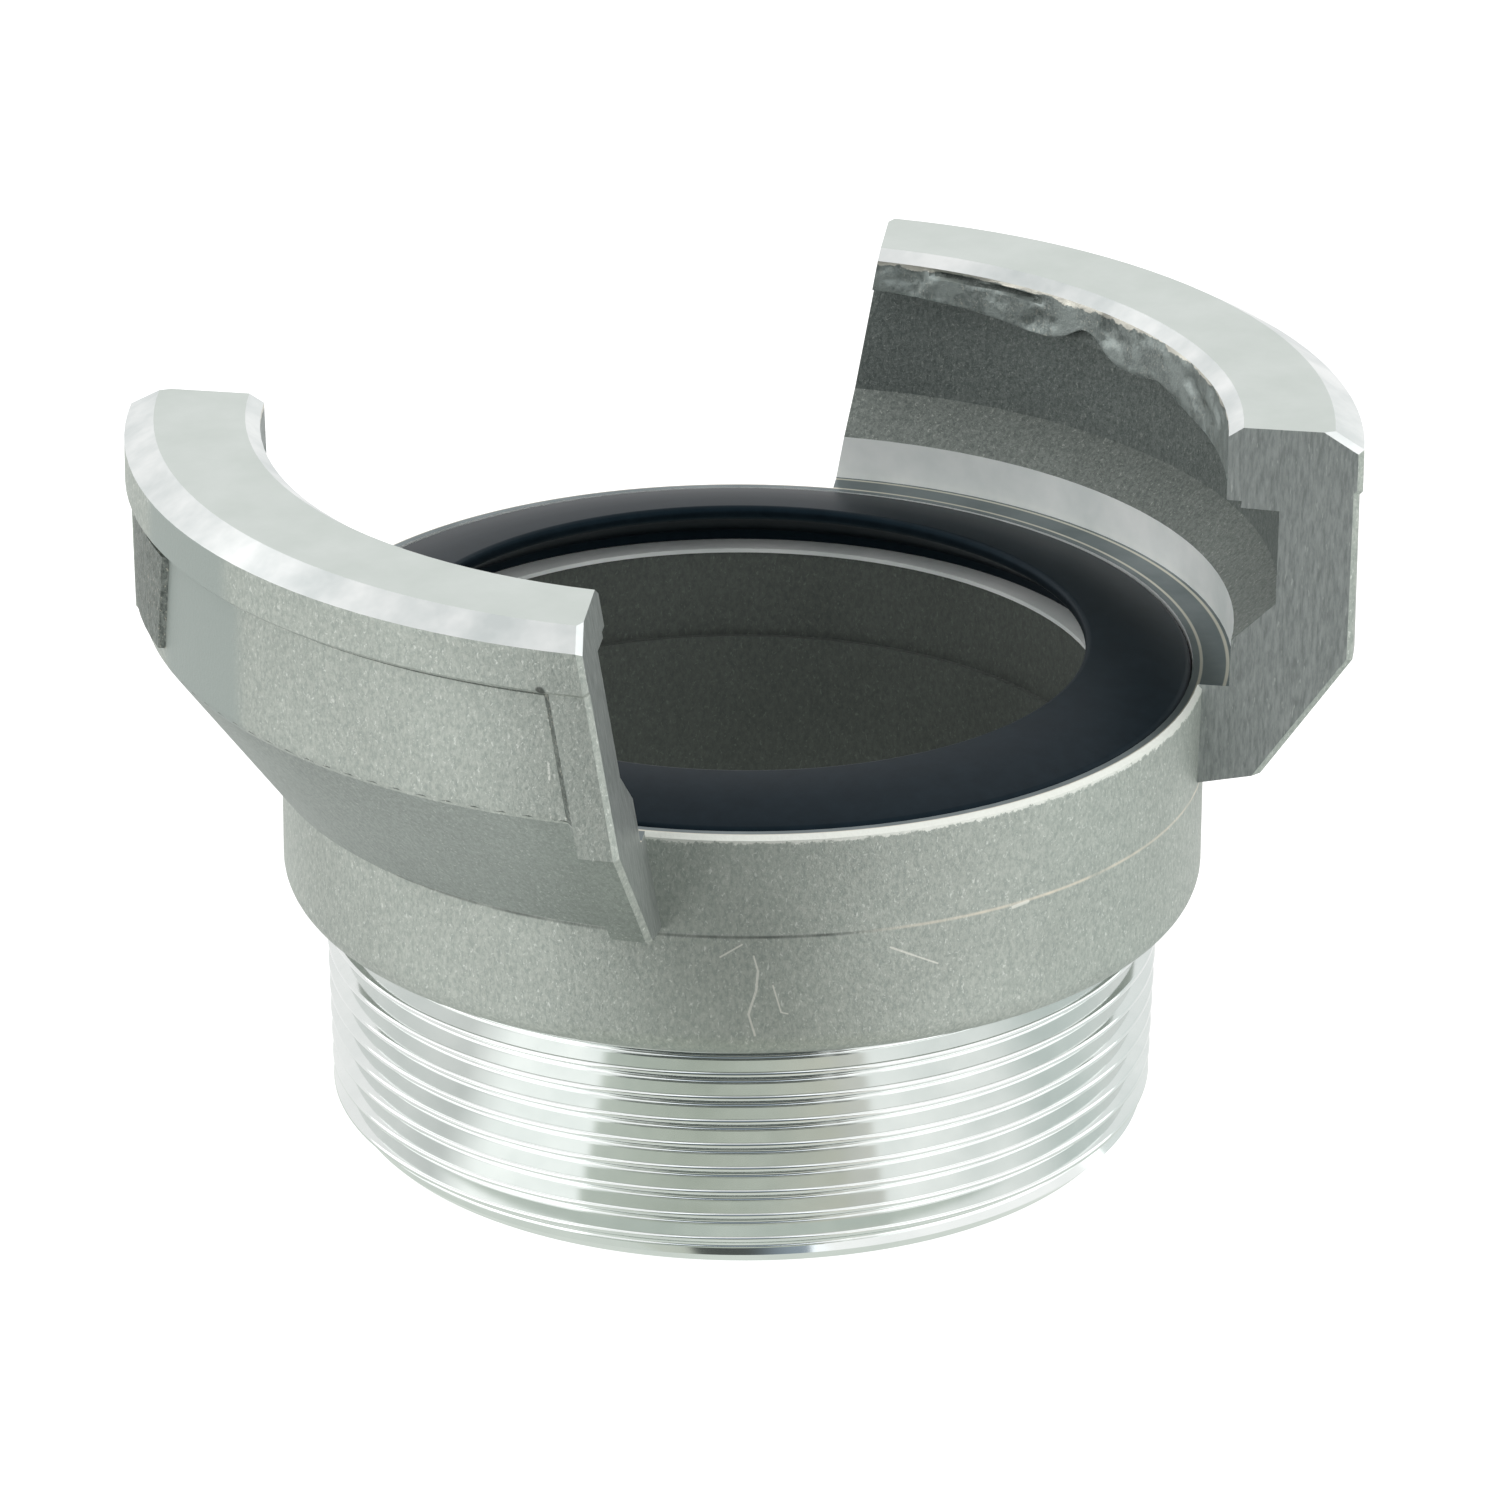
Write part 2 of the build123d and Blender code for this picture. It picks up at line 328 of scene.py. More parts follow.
def torn_material():
    """The lip's bored face, where the cutter left the skin: bright along its upper edge, partly
    burr and partly painted highlight.
    """
    made, tree, place = new_material("torn_lip_aluminium")
    height = node(tree, "SeparateXYZ", {"Vector": place}).outputs["Z"]
    ragged = node(tree, "TexNoise", {
        "Vector": place, "Scale": 0.5, "Detail": 4.0, "Roughness": 0.6})
    frayed = node(tree, "Math", {0: ragged, 1: 1.6, 2: height}, operation="MULTIPLY_ADD")
    smeared = node(tree, "TexNoise", {
        "Vector": place, "Scale": 0.35, "Detail": 3.0, "Roughness": 0.6})
    colour = layered(
        tree, sandy(tree, place, "828b89", "9da5a1", "cccbc0"),
        (mask(tree, (smeared, 0.45, 0.6, 0.7)), "a5aeab"),
        # Pale fringe along the top: burr, and painted highlight of the chamfer's edge.
        (mask(tree, (frayed, LIP_BURR_AND_HIGHLIGHT_Z, LIP_BURR_AND_HIGHLIGHT_Z + 0.12, 0.85)), "efece0"),
    )
    shader = node(tree, "BsdfPrincipled", {
        "Base Color": colour, "Metallic": 0.75, "Roughness": 0.45,
        "Normal": grain_bump(tree, place, GRAIN_PER_MM, 0.10, 0.5)})
    finish_material(tree, shader)
    return made


# %% Cast finishes
# The blasted skin is a matte middle grey with fine pale flecks.
cast_skin = cast_skin_material()
# The underside of the claws was out of the blast's way, so it is smoother; its darker grey is
# painted shade, on faces that look down.
shaded_underside_skin = cast_material("shaded_underside_cast_aluminium", "8f9791", "a1a9a3", "bfc4be", 0.05, 0.55)
# Inside the hook the skin is as it left the sand core, with little shine; its dark grey, and that
# of the slope in the hook, is painted shade.
shaded_hook_skin = cast_material("shaded_hook_aluminium", "727a77", "8e9591", "b9beb7", 0.12, 0.62)
shaded_slope_skin = cast_material("shaded_slope_aluminium", "707773", "8e948f", "bec2ba", 0.14, 0.62)
# The bored lip is part cut and part torn, so it is smeared in pale patches.
torn_lip = torn_material()
# The gate was sawn off and left rough, with brown stains from the blast grit.
gate_stub = cast_material("gate_stub_aluminium", "636a65", "8e958f", "cfcaba", 0.35, 0.6)
# The bore is as the sand core left it, and darker for being shaded all round.
cored_bore = cast_material("cored_bore_aluminium", "666b67", "747974", "8b908a", 0.06, 0.7)

# %% [markdown]
# ## The cut metal
# Where the casting was machined it is brighter. A lathe leaves fine rings about the axis,
# which smear a reflection along the axis: the shader does that with anisotropy. The ends
# of the claws were linished on a belt, which leaves short straight scratches. The thread
# was cut last and is almost a mirror.

# %% Turned metal
# Rings of the lathe tool and scratches of the belt in each millimetre
TURNED_PER_MM = 9.0
LINISHED_PER_MM = 3.0
BRIGHT_RING = "dedacc"


def turned_material(name, dark, light, roughness, ring_depth, smear=0.0, rings=(), metallic=1.0):
    """Fine rings about Z, cut by a lathe tool, and a slow change of tone.

    A bright ring is given by its middle radius and its half width, in millimetres.
    """
    made, tree, place = new_material(name)
    radius, _, height = around(tree, place)
    across = node(tree, "CombineXYZ", {"X": radius, "Y": height})
    drift = node(tree, "TexNoise", {
        "Vector": place, "Scale": 0.12, "Detail": 4.0, "Roughness": 0.6})
    tone = node(tree, "ValToRGB", {"Fac": drift}, stops=[(0.35, dark), (0.65, light)])
    for middle, half in rings:
        ring = mask(
            tree, (radius, middle - half, middle - 0.5 * half),
            (radius, middle + half, middle + 0.5 * half))
        tone = layered(tree, tone, (ring, BRIGHT_RING))
    cut = node(tree, "TexNoise", {"Vector": across, "Scale": TURNED_PER_MM, "Detail": 2.0})
    bump = node(tree, "Bump", {"Height": cut, "Distance": ring_depth * MM, "Strength": 0.5})
    tangent = node(tree, "Tangent", direction_type="RADIAL", axis="Z")
    shader = node(tree, "BsdfPrincipled", {
        "Base Color": tone, "Metallic": metallic, "Roughness": roughness, "Anisotropic": smear,
        "Anisotropic Rotation": 0.25, "Tangent": tangent, "Normal": bump})
    finish_material(tree, shader)
    return made


# %% Turned finishes
# The tips were faced and then handled, which leaves an even pale satin.
turned_tip = turned_material("turned_tip_aluminium", "cdd4cf", "d5dbd7", 0.42, 0.006)
# The tips' chamfer is brighter, with the light smeared across its rings.
turned_edge = turned_material("turned_edge_aluminium", "ced4d3", "eff1f0", 0.30, 0.006, 0.5)
# The register and the seat are the palest: their near-white, mostly unmetallic colour
# is painted reflection of the bright room round them.
turned_register = turned_material(
    "turned_register_aluminium", "e2e8e6", "f5f8f6", 0.4, 0.006, 0.85, metallic=0.2)
# The land round the seal lies in shade, and two burrs on it catch the light as rings.
turned_land = turned_material(
    "turned_land_aluminium", "6b7577", "828b8d", 0.35, 0.006, 0.5,
    rings=[(41.0, 0.18), (43.35, 0.2)])
# The thread is nearly a mirror, so it shows the floor and the room in bands.
cut_thread = turned_material("cut_thread_aluminium", "dde1df", "e6e9e7", 0.10, 0.0)
# Along a ridge the tool leaves a thin burr, which is polished by every hand that lifts it.
burr = turned_material("bright_burr_aluminium", "f2f5f4", "fbfcfc", 0.3, 0.01)

# %% Linished metal


def linished_material(name, dark, light, roughness):
    """Upright scratches of a grinding belt: noise that is stretched along Z."""
    made, tree, place = new_material(name)
    stretched = node(tree, "Mapping", {"Vector": place, "Scale": (1, 1, 0.10)})
    belt = node(tree, "TexNoise", {
        "Vector": stretched, "Scale": LINISHED_PER_MM, "Detail": 4.0, "Roughness": 0.65,
        "Distortion": 0.2})
    tone = node(tree, "ValToRGB", {"Fac": belt}, stops=[(0.34, dark), (0.66, light)])
    pale = node(tree, "TexNoise", {
        "Vector": stretched, "Scale": 1.4 * LINISHED_PER_MM, "Detail": 2.0, "Roughness": 0.6})
    tone = layered(tree, tone, (mask(tree, (pale, 0.64, 0.74, 0.6)), "ccd1cc"))
    bump = node(tree, "Bump", {"Height": belt, "Distance": 0.05 * MM, "Strength": 0.5})
    shader = node(tree, "BsdfPrincipled", {
        "Base Color": tone, "Metallic": 0.85, "Roughness": roughness, "Normal": bump})
    finish_material(tree, shader)
    return made


# The ends of the claws are a duller grey, streaked upright by the belt.
linished_end = linished_material("linished_end_aluminium", "8f9592", "afb4b1", 0.5)

# %% Rubber


def rubber_material():
    """Moulded nitrile rubber: nearly black, slightly blue, with a soft sheen."""
    made, tree, place = new_material("moulded_nitrile_rubber")
    dust = node(tree, "TexNoise", {"Vector": place, "Scale": 0.5, "Detail": 6.0, "Roughness": 0.7})
    tone = node(tree, "ValToRGB", {"Fac": dust}, stops=[(0.35, "0b1116"), (0.75, "131b21")])
    shader = node(tree, "BsdfPrincipled", {
        "Base Color": tone, "Roughness": 0.45, "IOR": 1.5, "Specular IOR Level": 0.2,
        "Specular Tint": linear("8fc4e0"), "Normal": grain_bump(tree, place, 5.0, 0.006, 0.3)})
    finish_material(tree, shader)
    return made


# The rubber gives the picture its one black, with a cool sheen where it slopes.
seal_rubber = rubber_material()

# %% [markdown]
# ## The cast body
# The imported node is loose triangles. A merged copy of it becomes one closed surface, which
# can be bevelled and given a finish face by face. Its plain threaded end is cut away, to
# make room for a real thread.

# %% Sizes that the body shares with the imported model
THREAD_RADIUS = 37.592 * MM
GAUGE_LENGTH = 17.5 * MM
TAPER = 1 / 16
BORE_RADIUS = 31.992 * MM
COLLAR_RADIUS = 41.392 * MM
LIP_RADIUS = 42.892 * MM
REGISTER_RADIUS = 43.792 * MM
UNDERCUT_RADIUS = 47.592 * MM
RIM_Z = 43.5 * MM
REGISTER_Z = 47.6 * MM
TIP_Z = 66.6 * MM
CUT_Z = 21.7 * MM
PAD_RADIUS = 54.192 * MM
RIDGE_RADIUS = 52.28 * MM
SEAT_Z = 40.5 * MM
END_SLANT = 0.1685
SHARP = radians(24)
MERGE = 0.002 * MM

FINISHES = [
    cast_skin, shaded_underside_skin, shaded_hook_skin, shaded_slope_skin, torn_lip, gate_stub, cored_bore,
    turned_tip, turned_edge, turned_register, turned_land, cut_thread, burr, linished_end,
]


def crest_radius(z):
    """Radius over the crests of the tapered thread at a height."""
    return THREAD_RADIUS + (z - GAUGE_LENGTH) * TAPER / 2


def copy_of_node(name):
    """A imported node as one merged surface, without its texture layers."""
    bm = bmesh.new()
    bm.from_mesh(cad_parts[name].data)
    for layer in list(bm.loops.layers.uv):
        bm.loops.layers.uv.remove(layer)
    bmesh.ops.remove_doubles(bm, verts=bm.verts[:], dist=MERGE)
    bmesh.ops.dissolve_limit(bm, angle_limit=radians(0.3), verts=bm.verts[:], edges=bm.edges[:])
    return bm


def sharp_edges(bm):
    """Edges that turn by more than the sharp angle."""
    return [e for e in bm.edges if len(e.link_faces) == 2 and e.calc_face_angle() > SHARP]


body = copy_of_node("coupling_body")
bmesh.ops.bisect_plane(
    body, geom=body.verts[:] + body.edges[:] + body.faces[:],
    plane_co=(0, 0, CUT_Z), plane_no=(0, 0, -1), clear_outer=True)
print("body faces", len(body.faces), "sharp edges", len(sharp_edges(body)))

# %% [markdown]
# Each face gets its finish from where it lies: its radius, its height and which way it
# looks. That is how the real one was made too, since each machine only reached some
# surfaces. The darker skins under the claws and in the hook are painted shade.

# %% Finish of each face
END_FACE_RADIUS = 44 * MM
EDGE_BAND = 1.6 * MM
SEAT_ABOVE = 39.3 * MM
BORE_LIMIT = 33 * MM
LIP_REACH = 2 * MM
PAD_EDGE = 0.8 * MM
UNDERSIDE_SHADE_ABOVE = 33 * MM


def near(value, wanted, slack=0.06 * MM):
    """Whether a length is what is wanted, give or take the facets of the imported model."""
    return abs(value - wanted) < slack


def finish_of(face):
    """Finish of a face, from its radii, heights and direction."""
    centre = face.calc_center_median()
    radii = [hypot(v.co.x, v.co.y) for v in face.verts]
    heights = [v.co.z for v in face.verts]
    looks_up = face.normal.z
    outward = face.normal.x * centre.x + face.normal.y * centre.y
    looks_out = outward / max(hypot(centre.x, centre.y), MM)
    if near(looks_up, END_SLANT, 0.012) and max(radii) > END_FACE_RADIUS:
        return linished_end
    if all(near(z, TIP_Z) for z in heights) and looks_up > 0.9:
        return turned_tip
    if centre.z > TIP_Z - EDGE_BAND and 0.1 < looks_up < 0.97:
        return turned_edge
    if all(near(r, LIP_RADIUS) for r in radii):
        return torn_lip
    if all(near(r, REGISTER_RADIUS) for r in radii) and max(heights) < REGISTER_Z + 0.1 * MM:
        return turned_register
    if all(near(z, RIM_Z) for z in heights) and looks_up > 0.9:
        return turned_land
    if centre.z < RIM_Z and max(radii) < COLLAR_RADIUS - MM and min(heights) > SEAT_ABOVE:
        return turned_register
    if max(radii) < BORE_LIMIT:
        return cored_bore
    # The hook and its slope get darker copies of the skin: painted shade.
    if centre.z > REGISTER_Z - 0.1 * MM and max(radii) < UNDERCUT_RADIUS + 0.1 * MM:
        if 0.3 < looks_up < 0.95:
            return shaded_slope_skin
        return torn_lip if looks_up < -0.3 and min(radii) < LIP_RADIUS + LIP_REACH else shaded_hook_skin
    if all(near(r, PAD_RADIUS, 0.1 * MM) for r in radii) and looks_out > 0.9:
        return gate_stub
    on_pad = min(radii) > PAD_RADIUS - PAD_EDGE and max(radii) < PAD_RADIUS + 0.1 * MM
    if on_pad and looks_out < 0.93:
        return gate_stub
    # Faces that look down get a darker copy of the skin: painted shade.
    if looks_up < -0.4 and centre.z > UNDERSIDE_SHADE_ABOVE and max(radii) - min(radii) > MM:
        return shaded_underside_skin
    return cast_skin


for face in body.faces:
    face.material_index = FINISHES.index(finish_of(face))
    face.smooth = True
print({m.name: sum(f.material_index == i for f in body.faces) for i, m in enumerate(FINISHES)})

# %% [markdown]
# No real edge is perfectly sharp. A small bevel catches the light along the edges that
# are seen, and it is left out in the bore, on the thread and under the seal.

# %% Bevel of the body's edges
BEVEL = 0.22 * MM
BEVEL_ABOVE = 23 * MM


def middle_of(edge):
    """Middle of an edge, as its radius and its height."""
    middle = (edge.verts[0].co + edge.verts[1].co) / 2
    return hypot(middle.x, middle.y), middle.z


def shows(edge):
    """Whether an edge is in sight: above the thread, outside the bore, not under the seal."""
    radius, height = middle_of(edge)
    return height > BEVEL_ABOVE and radius > BORE_LIMIT and not near(height, SEAT_Z)


bevelled = bmesh.ops.bevel(
    body, geom=[e for e in sharp_edges(body) if shows(e)], offset=BEVEL, offset_type="OFFSET",
    segments=2, profile=0.5, affect="EDGES", clamp_overlap=True, material=-1)
burred = 0
for face in bevelled["faces"]:
    centre = face.calc_center_median()
    radius = hypot(centre.x, centre.y)
    on_ridge = near(centre.z, TIP_Z, 0.2 * MM) and near(radius, RIDGE_RADIUS, 0.35 * MM)
    on_foot = near(centre.z, RIM_Z, 0.25 * MM) and near(radius, REGISTER_RADIUS, 0.3 * MM)
    if on_ridge or on_foot:
        face.material_index = FINISHES.index(burr)
        burred += 1
print("bevel made", len(bevelled["faces"]), "faces,", burred, "of them bright")

# %% [markdown]
# Where the boring tool met the raw skin of the lip it tore it. The bored faces are split
# finely, and pushed outward in patches by a noise that depends only on the place, so the
# same dents come out each time. One long slit runs under the lip's chamfer.

# %% Torn faces of the lip
# Heights in millimetres and turns in degrees at which the bored faces are split
TEAR_LEVELS = [61.6 + 0.22 * i for i in range(18)]
TEAR_TURN = 0.7
TEAR_PER_MM = 0.28
TEAR_DEPTH = 0.3 * MM
TEAR_GAIN = 1.6
SLIT_AZIMUTH = (13.4, 30.4)
SLIT_Z = (64.8 * MM, 65.2 * MM)
SLIT_HALF_HEIGHT = 0.4 * MM
SLIT_DEPTH = 0.9 * MM
SLIT_TAPER = 6


def lip_faces(bm):
    """Faces of the bored lip that lie on its own radius."""
    kind = FINISHES.index(torn_lip)
    return [
        f for f in bm.faces if f.material_index == kind
        and all(near(hypot(v.co.x, v.co.y), LIP_RADIUS, 0.1 * MM) for v in f.verts)]


def split_lip(bm):
    """Cuts the bored faces along levels and along planes through the axis."""
    planes = [((0, 0, z * MM), (0, 0, 1)) for z in TEAR_LEVELS]
    for i in range(int(180 / TEAR_TURN)):
        a = radians(i * TEAR_TURN)
        planes.append(((0, 0, 0), (-sin(a), cos(a), 0)))
    faces = lip_faces(bm)
    pieces = [*{v for f in faces for v in f.verts}, *{e for f in faces for e in f.edges}, *faces]
    for place, normal in planes:
        pieces = bmesh.ops.bisect_plane(
            bm, geom=pieces, dist=MERGE, plane_co=place, plane_no=normal)["geom"]


def in_slit(place):
    """1 in the middle of the slit, and 0 from its edges on."""
    start, end = SLIT_AZIMUTH
    share = (degrees(atan2(place.y, place.x)) - start) / (end - start)
    middle = SLIT_Z[0] + share * (SLIT_Z[1] - SLIT_Z[0])
    across = 1 - abs(place.z - middle) / SLIT_HALF_HEIGHT
    return max(0.0, min(across, SLIT_TAPER * share, SLIT_TAPER * (1 - share)))


def tear_depth(place):
    """How far a place on the bored lip is pushed outward."""
    patch = noise.fractal(place / MM * TEAR_PER_MM, 1.0, 2.0, 3)
    return max(TEAR_DEPTH * max(0.0, min(1.0, TEAR_GAIN * patch)), SLIT_DEPTH * in_slit(place))


def tear_lip(bm):
    """Splits the bored faces and pushes their inner corners outward."""
    split_lip(bm)
    faces = set(lip_faces(bm))
    corners = {v for f in faces for v in f.verts}
    inner = {v for v in corners if all(f in faces for f in v.link_faces)}
    for f in faces:
        # Faces deep in the slit take the hook's darker skin: painted shade in the slit.
        if in_slit(f.calc_center_median()) > 0.3:
            f.material_index = FINISHES.index(shaded_hook_skin)
    for v in inner:
        pushed = 1 + tear_depth(v.co) / hypot(v.co.x, v.co.y)
        v.co = (v.co.x * pushed, v.co.y * pushed, v.co.z)
    return len(faces)


print("torn lip faces", tear_lip(body))

# %% [markdown]
# ## The thread
# It is a 2 1/2 inch pipe thread: 11 turns to the inch, flanks at 55 degrees with rounded
# crests and roots, on a taper of 1 in 16. One row of tooth profiles is spun a full turn
# while it climbs by one pitch, so each tooth meets the next one and the helix is real.

# %% Thread profile and its spin
PITCH = 25.4 / 11 * MM
TOOTH_DEPTH = 0.640327 * PITCH
TOOTH_ROUND = 0.137329 * PITCH
FLANK = radians(27.5)
TURN_STEPS = 192
ARC_STEPS = 4
ROOT_Z_AT_START = 2.73 * MM
END_CHAMFER = 2.2 * MM
SPARE_TURNS = 3


def tooth_profile():
    """Radius and height of one tooth, from the middle of a root up to the next root."""
    reach = pi / 2 - FLANK
    root_centre = THREAD_RADIUS - TOOTH_DEPTH + TOOTH_ROUND
    crest_centre = THREAD_RADIUS - TOOTH_ROUND
    points = []
    for i in range(ARC_STEPS + 1):
        a = reach * i / ARC_STEPS
        points.append((root_centre - TOOTH_ROUND * cos(a), TOOTH_ROUND * sin(a)))
    for i in range(2 * ARC_STEPS + 1):
        a = reach * (i / ARC_STEPS - 1)
        points.append((crest_centre + TOOTH_ROUND * cos(a), PITCH / 2 + TOOTH_ROUND * sin(a)))
    for i in range(ARC_STEPS):
        a = reach * (i / ARC_STEPS - 1)
        points.append((root_centre - TOOTH_ROUND * cos(a), PITCH + TOOTH_ROUND * sin(a)))
    return points


def make_thread():
    """The thread's outside: a spun row of teeth, tapered, chamfered and cut to length."""
    bm = bmesh.new()
    turns = int(CUT_Z / PITCH) + SPARE_TURNS + 1
    row = []
    for turn in range(-SPARE_TURNS, turns):
        for radius, height in tooth_profile():
            row.append(bm.verts.new((radius, 0, height + turn * PITCH + ROOT_Z_AT_START)))
    for lower, upper in zip(row, row[1:]):
        bm.edges.new((lower, upper))
    bmesh.ops.spin(
        bm, geom=bm.verts[:] + bm.edges[:], cent=(0, 0, 0), axis=(0, 0, 1),
        dvec=(0, 0, PITCH / TURN_STEPS), angle=2 * pi, steps=TURN_STEPS, use_merge=False)
    bmesh.ops.remove_doubles(bm, verts=bm.verts[:], dist=0.003 * MM)
    chamfer_top = crest_radius(END_CHAMFER)
    for v in bm.verts:
        radius = hypot(v.co.x, v.co.y)
        wanted = radius + (v.co.z - GAUGE_LENGTH) * TAPER / 2
        if v.co.z < END_CHAMFER:
            wanted = min(wanted, chamfer_top - (END_CHAMFER - v.co.z))
        v.co.x *= wanted / radius
        v.co.y *= wanted / radius
    for height, side in ((0, -1), (CUT_Z, 1)):
        bmesh.ops.bisect_plane(
            bm, geom=bm.verts[:] + bm.edges[:] + bm.faces[:],
            plane_co=(0, 0, height), plane_no=(0, 0, side), clear_outer=True)
    return bm


thread = make_thread()
print("thread faces", len(thread.faces))

# %% [markdown]
# The thread's lower edge is drawn in to the bore and up the inside, which closes the end
# ring and the wall. Then the thread joins the body, and the open edges are bridged.

# %% Open rings and how they are closed
WALL_MIDDLE = 33.5 * MM
INNER_TOP = CUT_Z - 1.5 * MM


def boundary_at(bm, height, inner):
    """Open edges at a height, on the bore's side or on the outside."""
    found = []
    for e in bm.edges:
        radius, level = middle_of(e)
        if len(e.link_faces) == 1 and near(level, height) and (radius < WALL_MIDDLE) == inner:
            found.append(e)
    return found


def extruded_ring(bm, edges, radius, height):
    """Extrudes open edges, and takes the new ring to a radius and a height."""
    made = bmesh.ops.extrude_edge_only(bm, edges=edges)["geom"]
    ring = [g for g in made if isinstance(g, bmesh.types.BMVert)]
    for v in ring:
        scale = radius / hypot(v.co.x, v.co.y)
        v.co = (v.co.x * scale, v.co.y * scale, height)
    edges = [g for g in made if isinstance(g, bmesh.types.BMEdge)]
    return [e for e in edges if all(v in ring for v in e.verts)]


def azimuth(v):
    """Turn of a corner about the axis, in radians."""
    return atan2(v.co.y, v.co.x)


def stitched(bm, first, second):
    """Fills between two open rings about the axis with triangles, in order of azimuth."""
    rings = [sorted({v for e in edges for v in e.verts}, key=azimuth) for edges in (first, second)]
    steps = []
    for number, ring in enumerate(rings):
        steps += [(azimuth(v), number, place) for place, v in enumerate(ring)]
    at = [len(ring) - 1 for ring in rings]
    made = []
    for _, number, place in sorted(steps, key=lambda step: step[0]):
        own, other = rings[number], rings[1 - number]
        made.append(bm.faces.new([own[at[number]], own[place], other[at[1 - number]]]))
        at[number] = place
    return made


# %% Close the thread and join it to the body
ring = extruded_ring(thread, boundary_at(thread, 0, False), BORE_RADIUS, 0)
ring = extruded_ring(thread, ring, BORE_RADIUS, INNER_TOP)
thread.normal_update()
for f in thread.faces:
    f.smooth = True
    inside = max(hypot(v.co.x, v.co.y) for v in f.verts) < BORE_RADIUS + 0.1 * MM
    f.material_index = FINISHES.index(cored_bore if inside else cut_thread)
thread_mesh = bpy.data.meshes.new("thread_part")
thread.to_mesh(thread_mesh)
thread.free()
casting_rings = {"outer": boundary_at(body, CUT_Z, False), "inner": boundary_at(body, CUT_Z, True)}
body.from_mesh(thread_mesh)
bpy.data.meshes.remove(thread_mesh)
taken = set(casting_rings["outer"])
thread_rings = {
    "outer": [e for e in boundary_at(body, CUT_Z, False) if e not in taken],
    "inner": boundary_at(body, INNER_TOP, True),
}
print({name: len(ring) for name, ring in thread_rings.items()})

for f in stitched(body, casting_rings["outer"], thread_rings["outer"]):
    f.material_index = FINISHES.index(cut_thread)
for f in stitched(body, casting_rings["inner"], thread_rings["inner"]):
    f.material_index = FINISHES.index(cored_bore)
    f.smooth = True
bmesh.ops.recalc_face_normals(body, faces=body.faces[:])
open_edges = [e for e in body.edges if len(e.link_faces) != 2]
print("open edges left", len(open_edges), "faces", len(body.faces))

# %% [markdown]
# The finished mesh becomes an object that rides on the part's one body and stands for the
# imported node. Edges over the sharp angle are marked, so that smooth shading stops there,
# and a weighted normal modifier keeps the broad faces flat beside their bevels.

# %% Body object
SMOOTH_UNDER = radians(32)


def finished_object(bm, name, materials, replaced):
    """Turns a mesh in the making into an object of the part."""
    for e in bm.edges:
        e.smooth = len(e.link_faces) == 2 and e.calc_face_angle() < SMOOTH_UNDER
    mesh = bpy.data.meshes.new(name)
    for material in materials:
        mesh.materials.append(material)
    bm.to_mesh(mesh)
    bm.free()
    if "custom_normal" in mesh.attributes:
        mesh.attributes.remove(mesh.attributes["custom_normal"])
    made = bpy.data.objects.new(name, mesh)
    bpy.context.scene.collection.objects.link(made)
    weighted = made.modifiers.new("weighted normals", "WEIGHTED_NORMAL")
    weighted.keep_sharp = True
    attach(made, "root")
    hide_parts(replaced)
    print(name, "triangles", sum(len(p.vertices) - 2 for p in mesh.polygons))
    return made


casting = finished_object(body, "casting", FINISHES, "coupling_body")

# %% [markdown]
# ## The seal
# The seal is one moulded ring of black rubber. Its top slopes up to a thin lip that leans
# over the bore, so that the water inside presses the lip against the other half's seal.
# A closed section of a few points is spun about the axis, and its corners are rounded.

# %% Seal ring
SEAL_STEPS = 180
SEAL_EDGE = 0.25 * MM
# Radius and height in millimetres, from the foot of the hole round to the foot outside
SEAL_SECTION = [
    (34.49, 40.5), (34.49, 41.5), (30.62, 44.15), (30.62, 44.95), (30.97, 45.28),
    (33.4, 45.12), (36.0, 44.7), (38.4, 44.05), (39.75, 43.62), (40.1, 43.2), (40.14, 40.5),
]


def make_seal():
    """The section of the seal, spun about the axis, with its corners rounded."""
    bm = bmesh.new()
    corners = [bm.verts.new((r * MM, 0, z * MM)) for r, z in SEAL_SECTION]
    edges = [bm.edges.new((a, b)) for a, b in zip(corners, corners[1:] + corners[:1])]
    bmesh.ops.spin(
        bm, geom=corners + edges, cent=(0, 0, 0), axis=(0, 0, 1), angle=2 * pi,
        steps=SEAL_STEPS, use_merge=True)
    bmesh.ops.remove_doubles(bm, verts=bm.verts[:], dist=MERGE)
    bmesh.ops.recalc_face_normals(bm, faces=bm.faces[:])
    bmesh.ops.bevel(
        bm, geom=sharp_edges(bm), offset=SEAL_EDGE, offset_type="OFFSET", segments=3, profile=0.5,
        affect="EDGES", clamp_overlap=True, material=-1)
    for f in bm.faces:
        f.smooth = True
    return bm


lip_seal = finished_object(make_seal(), "lip_seal", [seal_rubber], "seal_ring")

# %% [markdown]
# ## Floor, lamps and room
# The photograph has a white ground with no horizon. The floor is white to the camera, and
# still takes a faint shadow. Two wide lamps stand left and right in front. Polished metal
# mirrors what stands round it: a grey card on the paper in front, with a lit gap in it, the
# dark edge of the table beyond, a bluish wall over that, lit panels on either hand, and a
# pale ceiling. That is what draws the bands and the thin dark lines on the thread.

